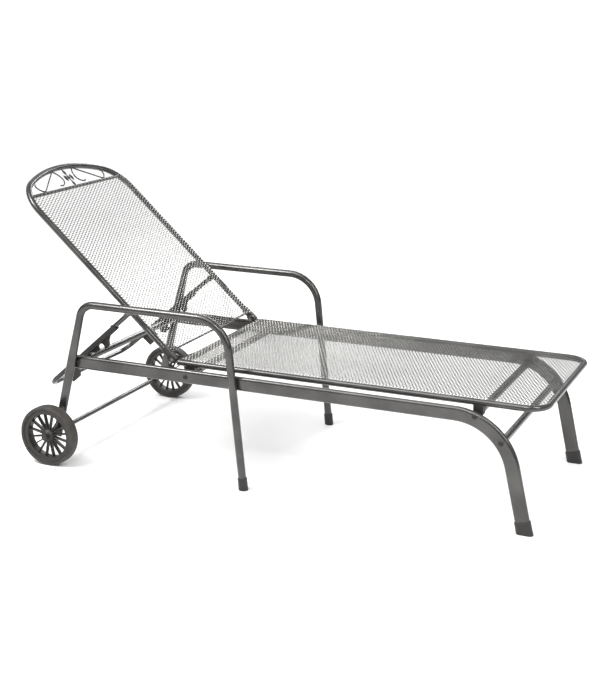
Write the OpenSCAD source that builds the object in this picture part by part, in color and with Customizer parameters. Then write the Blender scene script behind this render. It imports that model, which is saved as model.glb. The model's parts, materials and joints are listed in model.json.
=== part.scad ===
// Reclining sun lounger: steel tube frame on two wheels, expanded metal seat and backrest.
// +X points to the foot end, +Y to the left of a person lying on it, +Z up. Origin: on the
// ground, under the middle of the overall length.

/* [Overall] */
// Length of the seat, from the backrest hinge to the outside of the front tube
seat_len = 1205; // [950:5:1500]
// Width of the lying surface, over the seat tubes
lie_w = 600; // [480:5:740]
// Length of the backrest, from its hinge to the outside of the arch
back_len = 810; // [680:5:960]
// Height of the top of the seat tubes
seat_top = 379; // [320:1:460]
// Angle of the backrest above level, in the notch it stands in
recline = 42; // [36:1:48]
// Distance from the wheel axle to the backrest hinge
hinge_from_axle = 407; // [360:1:460]

/* [Side rails] */
// Height of the flat-oval rail tube
rail_h = 45; // [36:1:55]
// Thickness of the flat-oval rail tube
rail_t = 20; // [16:1:25]
// Wall of the rail tube
rail_wall = 1.5; // [1:0.1:2.5]
// Gap between a seat tube and a rail
rail_gap = 18; // [16:1:30]
// Drop from the middle of the seat tubes to the middle of the rails
rail_drop = 30; // [28:1:40]
// Centreline radius of the bend into the front leg
rail_bend = 185; // [140:5:220]
// Angle of the front legs away from upright
leg_lean = 13.2; // [6:0.1:18]
// Distance of the front feet behind the outside of the front tube
foot_setback = 39; // [20:1:80]
// Length of rail behind the catch tube
rail_tail = 22; // [18:1:40]

/* [Cross tubes] */
// Outside diameter of the four tubes between the rails
cross_d = 22; // [18:1:24]
// Wall of the cross tubes
cross_wall = 1.5; // [1:0.1:2.5]
// Distance from the axle to the catch tube that holds the prop bar
catch_from_axle = 79; // [65:1:95]
// Distance from the hinge to the rear seat support tube
support_rear_x = 65; // [55:1:120]
// Distance from the outside of the front tube to the front seat support tube
support_front_x = 201; // [180:1:260]
// Angle around the rail bend at which the leg brace tube sits
brace_angle = 51.5; // [35:0.5:60]

/* [Armrests] */
// Outside diameter of the armrest tube
arm_d = 25; // [22:1:30]
// Wall of the armrest tube
arm_wall = 1.5; // [1:0.1:2.5]
// Thickness of the flattened rear leg of an armrest
arm_flat_t = 15; // [13:0.5:18]
// Height of the top of the armrest
arm_top = 552; // [480:1:640]
// Distance from the axle to the rear corner of the armrest, measured on the centrelines
arm_rear_x = 111; // [80:1:150]
// Distance from the axle to the front corner of the armrest
arm_front_x = 622; // [520:1:700]
// Distance from the axle to the front foot of the armrest
arm_foot_x = 680; // [600:1:760]
// Centreline radius of the rear bend
arm_rear_bend = 52; // [40:1:70]
// Centreline radius of the front bend
arm_front_bend = 110; // [60:1:140]

/* [Feet] */
// Wall of the plastic foot caps
cap_wall = 2.8; // [2:0.1:4]
// Length of the foot caps up the leg
cap_len = 40; // [25:1:60]
// Thickness of the floor of a foot cap
cap_floor = 5; // [3:0.5:8]

/* [Wheels and axle] */
// Outside diameter of the wheels
wheel_d = 200; // [160:2:230]
// Width of the tyres
wheel_w = 40; // [28:1:50]
// Depth of the tyre ring, from the tread inward
tyre_h = 12; // [8:0.5:16]
// Depth of the rim ring inside the tyre
rim_h = 14; // [8:0.5:18]
// Outside diameter of the wheel hub
hub_d = 44; // [36:1:60]
// Number of spokes
spokes = 16; // [10:1:20]
// Gap between an armrest leg and the wheel hub, which a spacer fills
wheel_gap = 24; // [12:1:32]
// Diameter of the axle rod
axle_d = 12; // [10:0.5:14]
// Outside diameter of the tube around the axle rod
axle_tube_d = 16; // [15:0.5:20]

/* [Seat] */
// Outside diameter of the seat and backrest tubes
seat_d = 20; // [18:1:24]
// Wall of the seat and backrest tubes
seat_wall = 1.2; // [1:0.1:2]
// Centreline radius of the front corners of the seat
seat_bend = 62; // [40:1:90]
// Distance from the hinge to the middle of the tube at the rear of the seat
rear_tube_x = 27; // [25:1:40]
// Thickness of the expanded metal panels
mesh_t = 1.5; // [1:0.1:3]

/* [Backrest] */
// Centreline radius of the shoulders of the backrest
shoulder_r = 120; // [80:5:140]
// Slope of the arch where it leaves the shoulders
arch_slope = 20; // [12:1:26]
// Distance from the top crossbar to the middle of the arch, on the centrelines
arch_h = 89; // [75:1:110]
// Diameter of the top crossbar
crossbar_d = 12; // [10:1:16]
// Diameter of the wire of the scrolls
wire_d = 5; // [4:0.5:7]
// Distance of the hinge above the middle of the seat tubes
hinge_rise = 10; // [8:1:14]

/* [Prop bar] */
// Outside diameter of the prop bar
prop_d = 16; // [14:1:18]
// Length of the prop bar, from its pivot to the middle of its bottom bar
prop_len = 445; // [400:5:470]
// Distance of the prop pivot along the backrest
lug_along = 210.8; // [190:0.1:230]
// Distance of the prop pivot below the middle of the backrest tubes
lug_drop = 17; // [16:0.5:20]
// Distance between the notches
notch_pitch = 60; // [54:1:70]
// Thickness of the notch plates
notch_plate_t = 8; // [5:0.5:10]

/* [Fasteners and fits] */
// Diameter of the frame bolts
bolt_d = 8; // [6:0.5:8]
// Diameter of the prop bar bolts
prop_bolt_d = 6; // [5:0.5:8]
// Radial clearance of a part that turns on a pin
run_clear = 0.05; // [0.01:0.01:0.1]
// Clearance between pieces that are fixed together
seat_clear = 0.1; // [0.05:0.05:0.3]
// Clearance beside a moving part
side_clear = 0.3; // [0.3:0.1:1]

/* [Hidden] */
$fn = 48;

steel = "dimgray";
plastic = [0.16, 0.15, 0.14];
zinc = [0.80, 0.72, 0.45];
mesh_grey = "silver";

left = 1;
right = -1;
far_away = 4000;
hair = 0.06;

// Heights of the main lines.
seat_z = seat_top - seat_d / 2;
rail_z = seat_z - rail_drop;
hinge_z = seat_z + hinge_rise;
axle_z = wheel_d / 2;
arm_z = arm_top - arm_d / 2;

// Places along the length, measured from the axle.
front_x = hinge_from_axle + seat_len;
foot_x = front_x - foot_setback;
rail_corner_x = foot_x - rail_z * tan(leg_lean);
bend_turn = 90 - leg_lean;
bend_start_x = rail_corner_x - rail_bend * tan(bend_turn / 2);
support_rear = hinge_from_axle + support_rear_x;
support_front = front_x - support_front_x;
brace_x = bend_start_x + rail_bend * sin(brace_angle);
brace_z = rail_z - rail_bend * (1 - cos(brace_angle));
catch_x = catch_from_axle;
rail_rear_x = catch_x - rail_tail;
arch_top_x = hinge_from_axle - (back_len - seat_d / 2) * cos(recline) - seat_d / 2;
rear_x = min(arch_top_x, -wheel_d / 2);
x_axle = -(front_x + rear_x) / 2;

// Places across the width.
side_y = (lie_w - seat_d) / 2;
rail_y = side_y + seat_d / 2 + rail_gap + rail_t / 2;
rail_in = rail_y - rail_t / 2;
rail_out = rail_y + rail_t / 2;
arm_y = rail_out + arm_d / 2 + 0.5;
arm_out = arm_y + arm_flat_t / 2;
hub_in = arm_out + wheel_gap;
hub_len = wheel_w + 4;

// The rear leg of an armrest is its round tube squeezed flat, so the girth stays the same.
arm_flat_w = arm_flat_t + PI * (arm_d - arm_flat_t) / 2;
arm_leg_lean = atan2(arm_rear_x, arm_z - axle_z);
arm_foot_lean = atan2(arm_foot_x - arm_front_x, arm_z);

// Backrest outline, in its own frame: X along the tubes from the hinge, Z to the underside.
apex_s = back_len - seat_d / 2;
crossbar_s = apex_s - arch_h;
shoulder_reach = shoulder_r * tan((90 - arch_slope) / 2);
arch_reach = side_y / cos(arch_slope) - shoulder_reach - 1;
arch_r = arch_reach / tan(arch_slope);
arch_corner_s = apex_s + arch_r * (1 / cos(arch_slope) - 1);
shoulder_s = arch_corner_s - side_y * tan(arch_slope);
back_tube_start = 15;
back_outline = [
    [back_tube_start, side_y], [shoulder_s, side_y], [arch_corner_s, 0],
    [shoulder_s, -side_y], [back_tube_start, -side_y]
];
back_radii = [0, shoulder_r, arch_r, shoulder_r, 0];
shoulder_start = shoulder_s - shoulder_reach;
crossbar_y = side_y - shoulder_r + sqrt(shoulder_r * shoulder_r - pow(crossbar_s - shoulder_start, 2));
knuckle_d = seat_d + 5;
knuckle_end = 46;
rod_d = 7;
rod_s = knuckle_d / 2 + 9 + rod_d / 2;

// Prop bar: its pivot hangs below the backrest tubes, and it rests on the catch tube.
lug_x = hinge_from_axle - lug_along * cos(recline) - lug_drop * sin(recline);
lug_z = hinge_z + lug_along * sin(recline) - lug_drop * cos(recline);
catch_gap = 0.5;
plate_floor = 3;
catch_depth = prop_d / 2 + plate_floor + catch_gap + cross_d / 2;
catch_dist = norm([lug_x - catch_x, lug_z - rail_z]);
prop_angle = atan2(lug_z - rail_z, lug_x - catch_x) - asin(catch_depth / catch_dist);
catch_s = sqrt(catch_dist * catch_dist - catch_depth * catch_depth);
lug_t = 3;
lug_in = side_y - seat_d / 2 + 1;
prop_top_y = lug_in - side_clear - prop_d / 2;
prop_toe_in = 22;
prop_low_y = prop_top_y - prop_toe_in;
prop_bend = 48;
tang_t = 6;
tang_start = 20;
prop_outline = [[0, prop_top_y], [prop_len, prop_low_y], [prop_len, -prop_low_y], [0, -prop_top_y]];
prop_radii = [0, prop_bend, prop_bend, 0];
toe_angle = atan2(prop_toe_in, prop_len);

// Notch plate depths below the middle of the prop bar.
track_depth = 13;
first_tooth_depth = 37;
mid_tooth_depth = 26;
deep_tooth_depth = 47;
notch_r = cross_d / 2 + 1.5;
plate_start = 76;
plate_end = catch_s + 2 * notch_pitch + 6;
cheek_t = 2.5;
cheek_h = 10;
saddle_h = cheek_h / 2 + prop_d / 2 + cheek_t;

// Saddle clips on the seat supports, and how far forward the hinge plates may reach to them.
clip_x = cross_d + 8;
hinge_plate_len = support_rear_x - clip_x / 2 - 1;

// Fasteners.
head_d = 2 * bolt_d;
head_h = 4.5;
insert_len = 30;

// ---------------------------------------------------------------- helpers

function bite(r) = sqrt(0.6 * hair * r);
function reach(a, b, c, r) = r * tan(abs(turn(a, b, c)) / 2);
function heading(a, b) = atan2(b.y - a.y, b.x - a.x);
function wrap(a) = a > 180 ? a - 360 : (a <= -180 ? a + 360 : a);
function turn(a, b, c) = wrap(heading(b, c) - heading(a, b));
function step_from(p, angle, d) = [p.x + d * cos(angle), p.y + d * sin(angle)];

// Cross-section of a tube: a flat oval, or a circle where h and t are equal. No wall is solid.
module section(h, t, wall, inset) {
    difference() {
        oval(h - 2 * inset, t - 2 * inset);
        if (wall > 0)
            oval(h - 2 * wall + 2 * inset, t - 2 * wall + 2 * inset);
    }
}

module oval(h, t) {
    if (h > t)
        square([h - t, t], center = true);
    for (side = h > t ? [-1, 1] : [0])
        translate([side * (h - t) / 2, 0])
            circle(d = t);
}

// A tube along a line of points in the XY plane, each corner with its bend radius. The section
// is h in the plane of the bends and t across it. Each straight bites a little into its bends,
// and is a hair thinner, so that the pieces fuse into one tube.
module bent_tube(points, radii, h, t, wall = 0) {
    last = len(points) - 1;
    for (i = [0 : last - 1]) {
        a = heading(points[i], points[i + 1]);
        skip = i == 0 ? 0 : reach(points[i - 1], points[i], points[i + 1], radii[i]) - bite(radii[i]);
        stop = i == last - 1
            ? 0
            : reach(points[i], points[i + 1], points[i + 2], radii[i + 1]) - bite(radii[i + 1]);
        start = step_from(points[i], a, skip);
        translate([start.x, start.y, 0])
            rotate([0, 0, a])
                rotate([90, 0, 90])
                    linear_extrude(norm(points[i + 1] - points[i]) - skip - stop)
                        section(h, t, wall, hair);
    }
    for (i = [1 : 1 : last - 1]) {
        turned = turn(points[i - 1], points[i], points[i + 1]);
        side = turned > 0 ? 1 : -1;
        a = heading(points[i - 1], points[i]);
        start = step_from(points[i], a + 180, reach(points[i - 1], points[i], points[i + 1], radii[i]));
        centre = step_from(start, a + side * 90, radii[i]);
        translate([centre.x, centre.y, 0])
            rotate([0, 0, a - side * 90 + (side < 0 ? turned : 0)])
                rotate_extrude(angle = abs(turned), $fn = 24 + 14 * ceil(sqrt(radii[i])))
                    translate([radii[i], 0])
                        section(h, t, wall, 0);
    }
}

// A cylinder along Y, from y1 to y2.
module y_rod(d, y1, y2) {
    translate([0, min(y1, y2), 0])
        rotate([-90, 0, 0])
            cylinder(d = d, h = abs(y2 - y1));
}

// Places a child at a length from the axle and a height.
module at(x, z) {
    translate([x_axle + x, 0, z])
        children();
}

// Lays a child drawn in the XY plane into the XZ plane at a place across the width.
module in_side_plane(y) {
    translate([x_axle, y, 0])
        rotate([90, 0, 0])
            children();
}

// The backrest's frame: X along the tubes from the hinge, Z to the underside.
module in_backrest() {
    at(hinge_from_axle, hinge_z)
        rotate([0, 180 + recline, 0])
            children();
}

// The prop bar's frame: X along the legs from the pivot, Z to the underside.
module in_prop() {
    at(lug_x, lug_z)
        rotate([0, 180 - prop_angle, 0])
            children();
}

module on_both_sides() {
    for (side = [left, right])
        mirror([0, side == left ? 0 : 1, 0])
            children();
}

module above(z) {
    translate([-far_away / 2, -far_away / 2, z])
        cube([far_away, far_away, far_away]);
}

// ---------------------------------------------------------------- side rails and cross tubes

// The rail and its front leg. The leg ends square, just above the floor of its cap.
module rail_path(side, grow = 0, wall = 0, sink = 0) {
    end_z = cap_floor + rail_h / 2 * sin(leg_lean) - sink;
    in_side_plane(side * rail_y)
        bent_tube(
            [[rail_rear_x, rail_z], [rail_corner_x, rail_z], [foot_x - end_z * tan(leg_lean), end_z]],
            [0, rail_bend, 0], rail_h + 2 * grow, rail_t + 2 * grow, wall);
}

module cross_places() {
    for (p = [[catch_x, rail_z], [support_rear, rail_z], [support_front, rail_z], [brace_x, brace_z]])
        at(p.x, p.y)
            children();
}

arm_leg_tail = arm_flat_w / 2 + 2;
arm_leg_bite = 2;
arm_leg_len = norm([arm_rear_x, arm_z - axle_z])
    - reach([0, axle_z], [arm_rear_x, arm_z], [arm_front_x, arm_z], arm_rear_bend);
arm_cross_x = arm_foot_x - rail_z * tan(arm_foot_lean);
arm_bolt_d = 6;

module arm_bolt_places() {
    at(arm_cross_x, rail_z)
        children();
}

module side_rail(side) {
    color(steel)
        difference() {
            rail_path(side, wall = rail_wall);
            cross_places()
                y_rod(bolt_d + 2 * seat_clear, side * (rail_in - 1), side * (rail_out + 1));
            arm_bolt_places()
                y_rod(arm_bolt_d + 2 * seat_clear, side * (rail_in - 1), side * (rail_out + 1));
        }
}

module rail_end_plugs() {
    plug_in = 14;
    plug_lip = 2.5;
    slack = 2 * rail_wall + 2 * seat_clear;
    color(plastic)
        for (side = [left, right])
            in_side_plane(side * rail_y) {
                translate([rail_rear_x, rail_z, 0])
                    rotate([90, 0, 90])
                        linear_extrude(plug_in)
                            oval(rail_h - slack, rail_t - slack);
                translate([rail_rear_x - plug_lip, rail_z, 0])
                    rotate([90, 0, 90])
                        linear_extrude(plug_lip)
                            oval(rail_h, rail_t);
            }
}

module cross_tube(x, z) {
    color(steel)
        at(x, z)
            difference() {
                y_rod(cross_d, -rail_in, rail_in);
                y_rod(cross_d - 2 * cross_wall, -rail_in - 1, rail_in + 1);
            }
}

module cross_tube_inserts() {
    insert_d = cross_d - 2 * cross_wall - 2 * seat_clear;
    color(steel)
        cross_places()
            on_both_sides()
                difference() {
                    y_rod(insert_d, rail_in - insert_len, rail_in - seat_clear);
                    y_rod(bolt_d + 2 * seat_clear, rail_in - insert_len - 1, rail_in + 1);
                }
}

module button_bolt(d, y_seat, y_tip) {
    y_rod(d, y_tip, y_seat + 1);
    translate([0, y_seat, 0])
        rotate([-90, 0, 0])
            difference() {
                cylinder(d1 = head_d, d2 = head_d * 0.72, h = head_h);
                translate([0, 0, head_h - 2])
                    cylinder(d = d * 0.65, h = 3, $fn = 6);
            }
}

module rail_bolts() {
    color(plastic)
        cross_places()
            on_both_sides()
                button_bolt(bolt_d, rail_out, rail_in - insert_len + 4);
}

// ---------------------------------------------------------------- armrests

// The round tube: rear bend, armrest, front bend and front leg.
module arm_bend_path(side, grow = 0, wall = 0, sink = 0) {
    end_z = cap_floor + arm_d / 2 * sin(arm_foot_lean) - sink;
    in_side_plane(side * arm_y)
        bent_tube(
            [
                step_from([0, axle_z], 90 - arm_leg_lean, arm_leg_len - 2 * arm_leg_bite),
                [arm_rear_x, arm_z],
                [arm_front_x, arm_z],
                [arm_foot_x - end_z * tan(arm_foot_lean), end_z]
            ],
            [0, arm_rear_bend, arm_front_bend, 0], arm_d + 2 * grow, arm_d + 2 * grow, wall);
}

// The rear leg, squeezed flat from below the axle up to the bend.
module arm_leg_path(side, wall) {
    in_side_plane(side * arm_y)
        bent_tube(
            [
                step_from([0, axle_z], 270 - arm_leg_lean, arm_leg_tail),
                step_from([0, axle_z], 90 - arm_leg_lean, arm_leg_len - arm_leg_bite)
            ],
            [0, 0], arm_flat_w, arm_flat_t, wall);
}

module arm_loop(side) {
    color(steel)
        difference() {
            union() {
                arm_bend_path(side, wall = arm_wall);
                arm_leg_path(side, arm_wall);
            }
            at(0, axle_z)
                y_rod(axle_d + 2 * seat_clear, side * (arm_y - arm_d), side * (arm_y + arm_d));
            arm_bolt_places()
                y_rod(arm_bolt_d + 2 * seat_clear, side * (arm_y - arm_d), side * (arm_y - 2));
        }
}

// Bolts from inside the rails into the armrest front legs.
module arm_bolts() {
    color(plastic)
        arm_bolt_places()
            on_both_sides() {
                y_rod(arm_bolt_d, rail_in - 1, arm_y - 3);
                y_rod(arm_bolt_d * 2, rail_in - 4, rail_in);
            }
}

// ---------------------------------------------------------------- feet

// A cap around the end of a leg: the outer solid cut off at the ground, less the leg.
module leg_cap() {
    difference() {
        intersection() {
            children(0);
            above(0);
        }
        children(1);
    }
}

module front_foot_cap(side) {
    color(plastic)
        leg_cap() {
            in_side_plane(side * rail_y)
                translate([foot_x, 0, 0])
                    rotate([0, 0, 90 + leg_lean])
                        translate([-20, 0, 0])
                            rotate([90, 0, 90])
                                linear_extrude(20 + cap_len)
                                    oval(rail_h + 2 * cap_wall, rail_t + 2 * cap_wall);
            rail_path(side, grow = seat_clear, sink = seat_clear);
        }
}

module arm_foot_cap(side) {
    color(plastic)
        leg_cap() {
            in_side_plane(side * arm_y)
                translate([arm_foot_x, 0, 0])
                    rotate([0, 0, 90 + arm_foot_lean])
                        translate([-10, 0, 0])
                            rotate([90, 0, 90])
                                cylinder(d = arm_d + 2 * cap_wall, h = 10 + cap_len);
            arm_bend_path(side, grow = seat_clear, sink = seat_clear);
        }
}

// ---------------------------------------------------------------- wheels and axle

axle_end = hub_in + hub_len + 8;

module axle_rod() {
    color(zinc)
        at(0, axle_z)
            y_rod(axle_d, -axle_end, axle_end);
}

module axle_tube() {
    color(steel)
        at(0, axle_z)
            difference() {
                y_rod(axle_tube_d, -(arm_y - arm_flat_t / 2), arm_y - arm_flat_t / 2);
                y_rod(axle_d + 2 * seat_clear, -arm_y, arm_y);
            }
}

module axle_spacers() {
    color(plastic)
        at(0, axle_z)
            on_both_sides()
                difference() {
                    y_rod(axle_tube_d + 6, arm_out, hub_in - side_clear);
                    y_rod(axle_d + 2 * seat_clear, arm_out - 1, hub_in + 1);
                }
}

module axle_caps() {
    cap_in = hub_in + hub_len + side_clear;
    color(plastic)
        at(0, axle_z)
            on_both_sides()
                difference() {
                    union() {
                        y_rod(axle_d + 10, cap_in, axle_end);
                        translate([0, axle_end, 0])
                            rotate([-90, 0, 0])
                                cylinder(d1 = axle_d + 10, d2 = axle_d, h = 3);
                    }
                    y_rod(axle_d + 2 * seat_clear, cap_in - 1, axle_end + seat_clear);
                }
}

bush_wall = 2;

module at_wheel(side) {
    at(0, axle_z)
        translate([0, side * (hub_in + hub_len / 2), 0])
            children();
}

module wheel(side) {
    rim_out = wheel_d / 2 - tyre_h;
    rim_in = rim_out - rim_h;
    spoke_w = 6;
    spoke_t = 10;
    web_w = wheel_w * 0.75;
    color(plastic)
        at_wheel(side)
            rotate([90, 0, 0])
                difference() {
                    union() {
                        difference() {
                            cylinder(r = rim_out - seat_clear, h = web_w, center = true);
                            cylinder(r = rim_in, h = wheel_w, center = true);
                        }
                        cylinder(d = hub_d, h = hub_len, center = true);
                        for (i = [0 : spokes - 1])
                            rotate([0, 0, i * 360 / spokes])
                                translate([hub_d / 2 - 3, -spoke_w / 2, -spoke_t / 2])
                                    cube([rim_in - hub_d / 2 + 6, spoke_w, spoke_t]);
                    }
                    cylinder(d = axle_d + 2 * bush_wall + 2 * seat_clear, h = 2 * hub_len, center = true);
                }
}

module tyre(side) {
    edge = 5;
    color(plastic)
        at_wheel(side)
            rotate([90, 0, 0])
                rotate_extrude()
                    translate([wheel_d / 2 - tyre_h, -wheel_w / 2])
                        union() {
                            square([tyre_h - edge, wheel_w]);
                            translate([0, edge])
                                square([tyre_h, wheel_w - 2 * edge]);
                            for (y = [edge, wheel_w - edge])
                                translate([tyre_h - edge, y])
                                    circle(r = edge);
                        }
}

module wheel_bush(side) {
    color("gray")
        at_wheel(side)
            rotate([90, 0, 0])
                difference() {
                    cylinder(d = axle_d + 2 * bush_wall, h = hub_len, center = true);
                    cylinder(d = axle_d + 2 * run_clear, h = 2 * hub_len, center = true);
                }
}

// ---------------------------------------------------------------- seat

seat_tube_start = hinge_from_axle + knuckle_d / 2 + 5;
seat_front_x = front_x - seat_d / 2;
seat_outline = [
    [seat_tube_start, side_y], [seat_front_x, side_y], [seat_front_x, -side_y], [seat_tube_start, -side_y]
];

module seat_path(grow = 0, wall = 0) {
    at(0, seat_z)
        bent_tube(seat_outline, [0, seat_bend, seat_bend, 0], seat_d + 2 * grow, seat_d + 2 * grow, wall);
}

module seat_frame() {
    color(steel)
        seat_path(wall = seat_wall);
}

module seat_rear_tube() {
    color(steel)
        at(hinge_from_axle + rear_tube_x, seat_z)
            difference() {
                y_rod(seat_d, -(plate_out - plate_t), plate_out - plate_t);
                y_rod(seat_d - 2 * seat_wall, -side_y, side_y);
            }
}

// The panel lies on the crowns of the seat tubes.
module seat_mesh() {
    x0 = hinge_from_axle + rear_tube_x;
    color(mesh_grey)
        at(0, seat_top)
            linear_extrude(mesh_t)
                union() {
                    translate([x0, -side_y])
                        square([seat_front_x - seat_bend - x0, 2 * side_y]);
                    translate([x0, -side_y + seat_bend])
                        square([seat_front_x - x0, 2 * (side_y - seat_bend)]);
                    for (y = [-1, 1])
                        translate([seat_front_x - seat_bend, y * (side_y - seat_bend)])
                            circle(r = seat_bend);
                }
}

// Plastic saddles between the support tubes and the seat tubes.
module seat_saddle_clips() {
    clip_y = seat_d + 6;
    below = 4;
    above_tube = 5;
    color(plastic)
        for (x = [support_rear, support_front])
            on_both_sides()
                difference() {
                    at(x, 0)
                        translate([-clip_x / 2, side_y - clip_y / 2, rail_z - below])
                            cube([clip_x, clip_y, seat_z - above_tube + below - rail_z + 2]);
                    at(x, rail_z)
                        y_rod(cross_d + 2 * seat_clear, 0, rail_in);
                    seat_path(grow = seat_clear);
                }
}

module seat_end_plugs() {
    lip = 2.5;
    color(plastic)
        at(seat_tube_start, seat_z)
            for (side = [left, right])
                translate([0, side * side_y, 0]) {
                    translate([-lip, 0, 0])
                        rotate([0, 90, 0])
                            cylinder(d = seat_d, h = lip);
                    rotate([0, 90, 0])
                        cylinder(d = seat_d - 2 * seat_wall - 2 * seat_clear, h = 12);
                }
}

plate_t = 4;
plate_out = side_y - seat_d / 2;
plate_r = knuckle_d / 2 + 0.5;

// Tapered sheet gussets in the rear corners, level with the top of the rear tube.
module seat_corner_gussets() {
    gusset_len = 100;
    gusset_t = 3;
    x0 = hinge_from_axle - 2;
    x1 = hinge_from_axle + rear_tube_x;
    color(steel)
        difference() {
            for (side = [left, right])
                at(0, seat_z + 2)
                    linear_extrude(gusset_t)
                        polygon([
                            [x0, side * (plate_out - plate_t)],
                            [x1, side * (plate_out - plate_t)],
                            [x1, side * (plate_out - gusset_len - 20)],
                            [x1 - seat_d / 2 - 3, side * (plate_out - gusset_len)]
                        ]);
            at(hinge_from_axle + rear_tube_x, seat_z)
                y_rod(seat_d, -side_y, side_y);
            at(hinge_from_axle, hinge_z)
                y_rod(2.2 * bolt_d, -side_y, side_y);
        }
}

// The plates beside the seat tubes that carry the hinge bolts.
module hinge_plate(side) {
    x0 = hinge_from_axle;
    color(steel)
        difference() {
            in_side_plane(side * (plate_out - plate_t / 2))
                translate([0, 0, -plate_t / 2])
                    linear_extrude(plate_t)
                        union() {
                            translate([x0, hinge_z])
                                circle(r = plate_r);
                            polygon([
                                [x0, hinge_z - plate_r],
                                [x0 + hinge_plate_len, seat_z - seat_d / 2 + 2],
                                [x0 + hinge_plate_len, seat_top - 1],
                                [x0 + plate_r, seat_top - 1],
                                [x0, hinge_z + plate_r - 1]
                            ]);
                        }
            at(hinge_from_axle, hinge_z)
                y_rod(bolt_d + 2 * seat_clear, side * (plate_out - 2 * plate_t), side * (plate_out + plate_t));
        }
}

hinge_head_y = side_y + seat_d / 2 + side_clear;
hinge_nut_h = 6.5;

module hinge_bolts() {
    color(zinc)
        at(hinge_from_axle, hinge_z)
            on_both_sides() {
                y_rod(bolt_d, plate_out - plate_t - hinge_nut_h - 2, hinge_head_y + 1);
                y_rod(1.6 * bolt_d, hinge_head_y, hinge_head_y + 5);
            }
}

module hex_nut(d, y1, y2) {
    difference() {
        translate([0, min(y1, y2), 0])
            rotate([-90, 0, 0])
                cylinder(d = 1.85 * d, h = abs(y2 - y1), $fn = 6);
        y_rod(d + 2 * seat_clear, min(y1, y2) - 1, max(y1, y2) + 1);
    }
}

module hinge_nuts() {
    y2 = plate_out - plate_t - seat_clear;
    color(zinc)
        at(hinge_from_axle, hinge_z)
            on_both_sides()
                hex_nut(bolt_d, y2 - hinge_nut_h, y2);
}

// ---------------------------------------------------------------- backrest

module back_path(wall = 0) {
    in_backrest()
        bent_tube(back_outline, back_radii, seat_d, seat_d, wall);
}

module backrest_frame() {
    color(steel)
        back_path(seat_wall);
}

module backrest_crossbar() {
    color(steel)
        difference() {
            in_backrest()
                translate([crossbar_s, 0, 0])
                    y_rod(crossbar_d, -crossbar_y, crossbar_y);
            back_path();
        }
}

module backrest_bottom_rod() {
    y = side_y - knuckle_d / 2 - seat_clear;
    color(steel)
        in_backrest()
            translate([rod_s, 0, -seat_d / 2 + rod_d / 2])
                y_rod(rod_d, -y, y);
}

// The panel lies on the crowns of the backrest tubes, from the bottom rod to the crossbar.
module backrest_mesh() {
    s0 = rod_s - rod_d / 2;
    color(mesh_grey)
        in_backrest()
            translate([0, 0, -seat_d / 2 - mesh_t])
                linear_extrude(mesh_t)
                    intersection() {
                        union() {
                            translate([s0, -side_y])
                                square([shoulder_start - s0, 2 * side_y]);
                            translate([s0, -side_y + shoulder_r])
                                square([back_len, 2 * (side_y - shoulder_r)]);
                            for (side = [-1, 1])
                                translate([shoulder_start, side * (side_y - shoulder_r)])
                                    circle(r = shoulder_r, $fn = 96);
                        }
                        translate([s0, -side_y])
                            square([crossbar_s - s0, 2 * side_y]);
                    }
}

// Plastic ends of the backrest tubes, which turn on the hinge bolts.
module hinge_knuckle(side) {
    inner = plate_out + side_clear;
    outer = side_y + seat_d / 2;
    color(plastic)
        in_backrest()
            difference() {
                union() {
                    y_rod(knuckle_d, side * inner, side * outer);
                    translate([0, min(side * inner, side * outer), -knuckle_d / 2])
                        cube([back_tube_start + 2, outer - inner, knuckle_d]);
                    translate([back_tube_start, side * side_y, 0])
                        rotate([0, 90, 0])
                            cylinder(d = knuckle_d, h = knuckle_end - back_tube_start);
                }
                y_rod(bolt_d + 2 * run_clear, side * (inner - 5), side * (outer + 5));
                translate([back_tube_start - seat_clear, side * side_y, 0])
                    rotate([0, 90, 0])
                        cylinder(d = seat_d + 2 * seat_clear, h = knuckle_end);
                translate([rod_s, 0, -seat_d / 2 + rod_d / 2])
                    y_rod(rod_d + 2 * seat_clear, -side_y + knuckle_d / 2, side_y - knuckle_d / 2);
                translate([-knuckle_d, -side_y - knuckle_d, -knuckle_d - seat_d / 2])
                    cube([knuckle_end + 2 * knuckle_d, 2 * (side_y + knuckle_d), knuckle_d]);
            }
}

// ---------------------------------------------------------------- scrollwork

scroll_foot_y = 177;
scroll_top_y = 68;
hook_h = 34;
hook_w = 28;
hook_r = 16;
wire_seat = crossbar_s + crossbar_d / 2 + wire_d / 2;

module wire(points, radii) {
    color(steel)
        difference() {
            in_backrest()
                bent_tube(points, radii, wire_d, wire_d);
            back_path();
            in_backrest()
                translate([crossbar_s, 0, 0])
                    y_rod(crossbar_d, -side_y, side_y);
        }
}

// A straight wire from the arch to the crossbar that turns up outward into a hook.
module scroll(side) {
    wire(
        [
            [apex_s - 2, side * (scroll_top_y - 10)],
            [wire_seat, side * scroll_foot_y],
            [wire_seat, side * (scroll_foot_y + hook_w)],
            [wire_seat + hook_h, side * (scroll_foot_y + hook_w)],
            [wire_seat + hook_h, side * (scroll_foot_y - 8)]
        ],
        [0, 8, hook_r, hook_r, 0]);
}

// A wire that drops from the arch beside the leaves and curls outward.
module curl(side) {
    wire(
        [
            [apex_s, side * (scroll_top_y + 14)],
            [apex_s - 27, side * 37],
            [apex_s - 75, side * 37],
            [apex_s - 75, side * (scroll_top_y + 10)]
        ],
        [0, 13, 20, 0]);
}

// A leaf outline between two arcs, its tips on the X axis.
module leaf(length, width) {
    r = (length * length / 4 + width * width / 4) / width;
    intersection() {
        translate([0, r - width / 2])
            circle(r = r, $fn = 96);
        translate([0, -r + width / 2])
            circle(r = r, $fn = 96);
    }
}

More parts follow.
